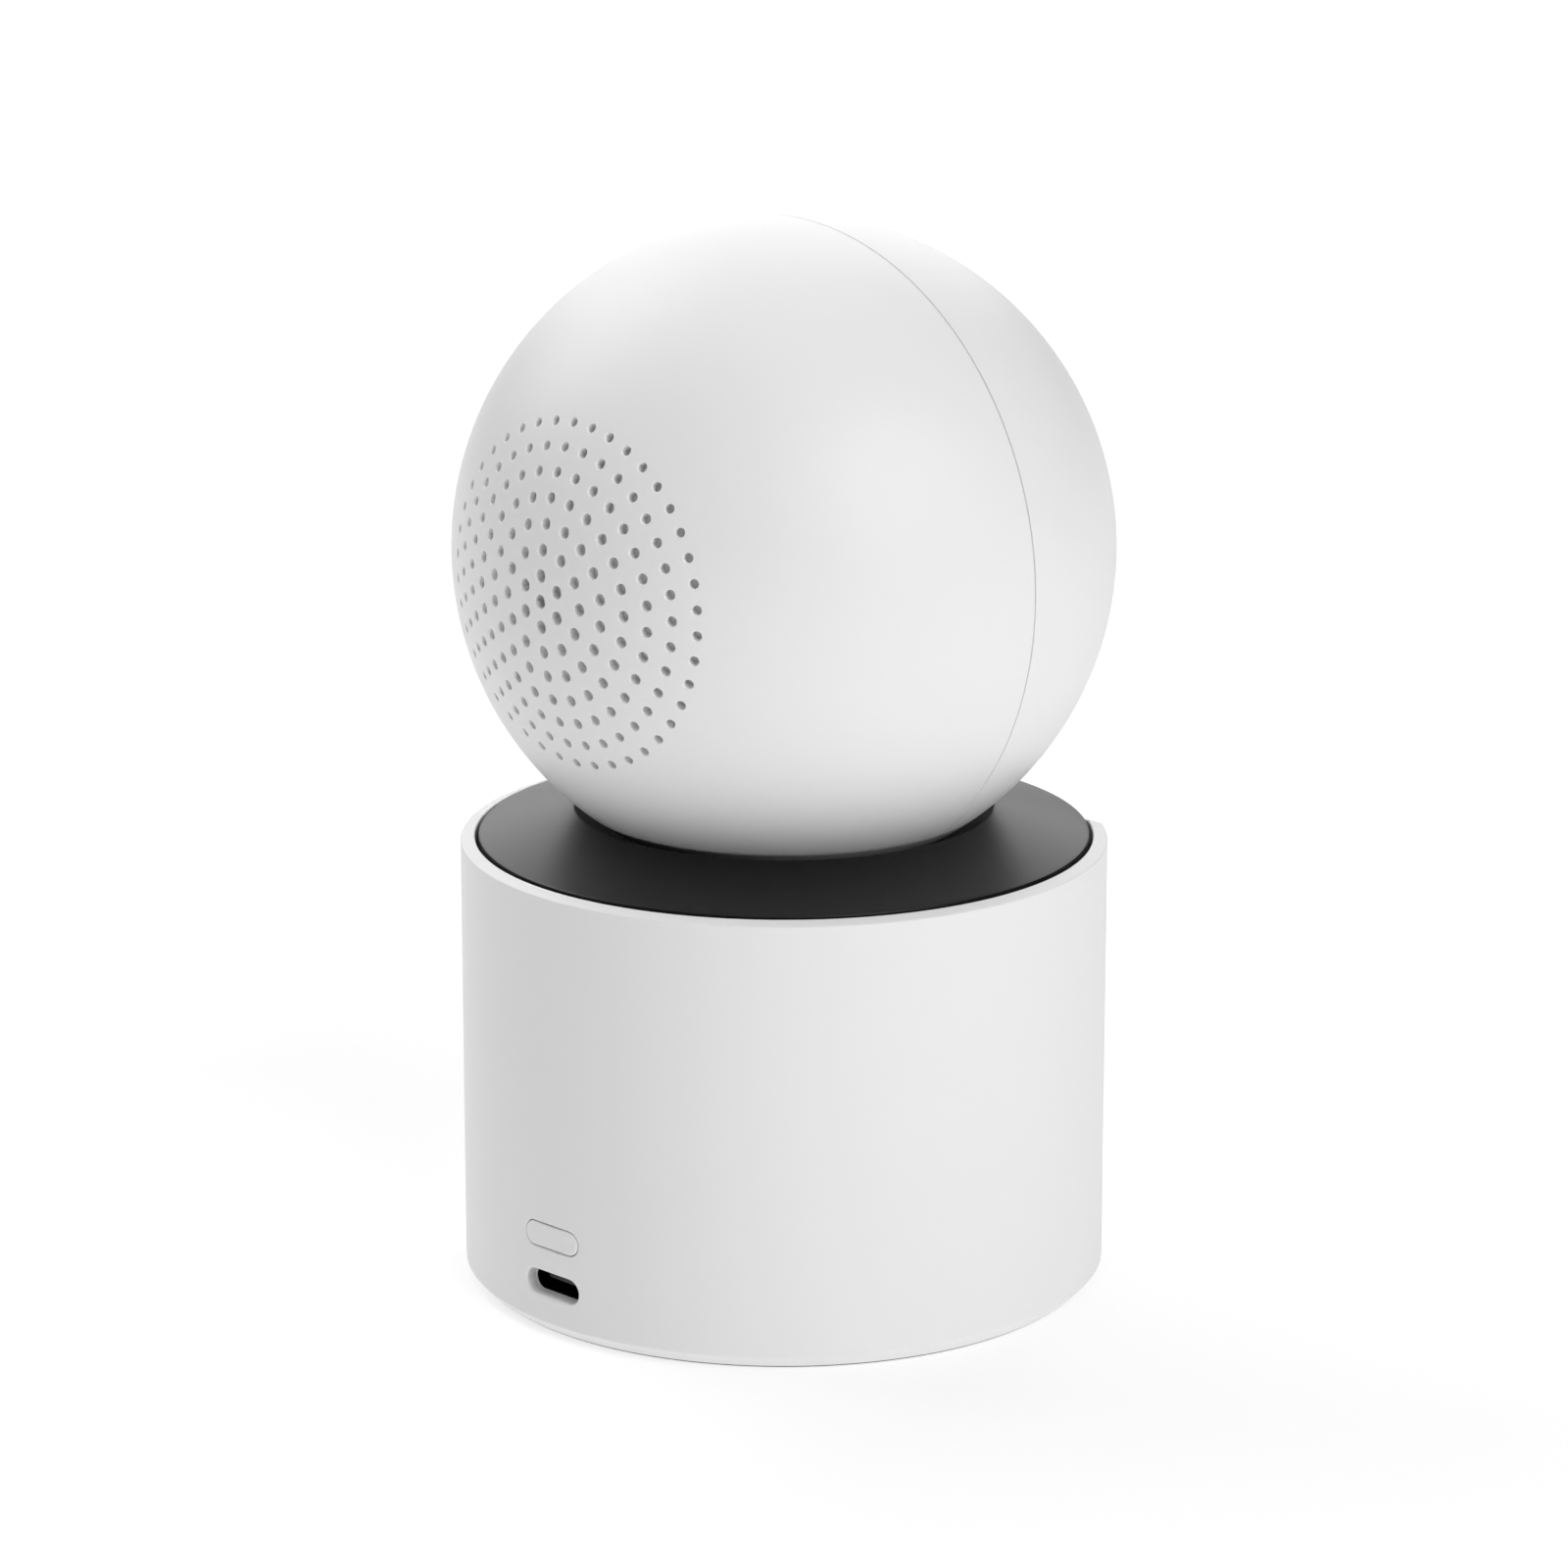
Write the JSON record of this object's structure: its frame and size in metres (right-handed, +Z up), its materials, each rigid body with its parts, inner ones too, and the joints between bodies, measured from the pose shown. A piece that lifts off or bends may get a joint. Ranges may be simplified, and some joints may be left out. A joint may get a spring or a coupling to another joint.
{
  "type": "security camera",
  "caption": "Pan-and-tilt security camera: ball head with a lens window and rear speaker grille on a turning disc and a round base.",
  "frame": {"origin": "centre of the foot ring's underside, on the surface that the camera stands on", "axes": "+Z up, along the pan axis; lens towards -Y at rest, speaker grille and power port towards +Y"},
  "size_m": [0.0792, 0.0791, 0.1296],
  "materials": {
    "aluminium": "extruded aluminium",
    "antenna_foil": "flexible printed aerial",
    "black_disc": "black satin moulded plastic, fine grain",
    "black_plastic": "black moulded plastic",
    "black_steel": "black coated steel",
    "black_trim": "black satin plastic",
    "black_window": "gloss black, lets infrared through",
    "board": "solder mask",
    "brass": "turned brass",
    "cable": "cable jacket",
    "chip": "moulded chip package",
    "cone_paper": "treated paper",
    "dark_steel": "dark coated steel",
    "dust_mesh": "fine light grey dust mesh",
    "filter_glass": "infrared-cut filter glass",
    "foam": "closed-cell foam",
    "foot_rubber": "soft anti-slip rubber",
    "gear_plastic": "natural gear plastic",
    "grey_plastic": "light grey moulded plastic",
    "led_clear": "clear diode body",
    "lens_glass": "coated optical glass",
    "light_pipe": "clear acrylic",
    "motor_can": "zinc-coated can",
    "steel": "bright steel",
    "white_button": "matte white moulded plastic",
    "white_shell": "matte white moulded plastic, fine texture"
  },
  "bodies": {
    "base": {"base_shell": "white_shell", "bottom_cover": "grey_plastic", "foot_ring": "foot_rubber", "tripod_insert": "brass", "base_screws": "steel", "counterweight": "dark_steel", "motor_deck": "black_plastic", "pan_bearing": "gear_plastic", "pan_motor": "motor_can", "base_machine_screws": "steel", "cable_cassette": "black_plastic", "power_board": "board", "usb_c_shell": "black_steel", "usb_c_tongue": "black_plastic", "reset_switch": "black_plastic"},
    "reset_button": {"reset_button": "white_button"},
    "turntable": {"turntable_disc": "black_disc", "neck_column": "black_plastic", "pan_gear": "gear_plastic", "turntable_screws": "steel", "spindle_clip": "steel", "tilt_shaft": "steel", "tilt_sector": "gear_plastic", "friction_washer": "brass", "cable_harness": "cable"},
    "pan_pinion": {"pan_pinion": "brass"},
    "head": {"front_shell": "white_shell", "rear_shell": "white_shell", "front_window": "black_window", "lens_ring": "black_trim", "lens_barrel": "black_trim", "front_lens": "lens_glass", "rear_lens": "lens_glass", "lens_holder": "black_plastic", "ir_filter": "filter_glass", "image_sensor": "chip", "sensor_board": "board", "led_board": "board", "infrared_leds": "led_clear", "light_sensor": "led_clear", "status_light": "light_pipe", "microphones": "steel", "main_board": "board", "shield_can": "steel", "heat_sink": "aluminium", "card_socket": "steel", "wifi_antenna": "antenna_foil", "head_frame": "black_plastic", "head_screws": "steel", "tilt_bushes": "brass", "tilt_motor": "motor_can", "speaker_frame": "black_plastic", "speaker_cone": "cone_paper", "speaker_magnet": "dark_steel", "speaker_gasket": "foam", "speaker_mesh": "dust_mesh"},
    "tilt_pinion": {"tilt_pinion": "brass"},
    "dust_shutter": {"dust_shutter": "black_plastic"}
  },
  "joints": [
    {"name": "pan", "type": "hinge", "parent": "base", "child": "turntable", "pos_m": [0, 0, 0.039], "axis": [0, 0, 1], "range_deg": [-175, 175]},
    {"name": "tilt", "type": "hinge", "parent": "turntable", "child": "head", "pos_m": [0, 0, 0.09], "axis": [-1, 0, 0], "range_deg": [-26, 26]},
    {"name": "shutter_slide", "type": "hinge", "parent": "turntable", "child": "dust_shutter", "pos_m": [0, 0, 0.09], "axis": [-1, 0, 0], "range_deg": [-13.5, 13.5]},
    {"name": "pan_pinion_spin", "type": "hinge", "parent": "base", "child": "pan_pinion", "pos_m": [0, -0.01875, 0.042], "axis": [0, 0, 1], "range_deg": [-705, 705]},
    {"name": "tilt_pinion_spin", "type": "hinge", "parent": "head", "child": "tilt_pinion", "pos_m": [0.011, 0.00788, 0.10364], "axis": [-1, 0, 0], "range_deg": [-84, 84]},
    {"name": "reset_press", "type": "slide", "parent": "base", "child": "reset_button", "axis": [0, -1, 0], "range_m": [0, 0.0005], "stiffness_N_per_m": 900, "springref_m": -0.0003}
  ],
  "couplings": [
    {"joint": "pan_pinion_spin", "follows": "pan", "ratio": -4},
    {"joint": "tilt_pinion_spin", "follows": "tilt", "ratio": 3.2},
    {"joint": "shutter_slide", "follows": "tilt", "ratio": 0.5}
  ]
}
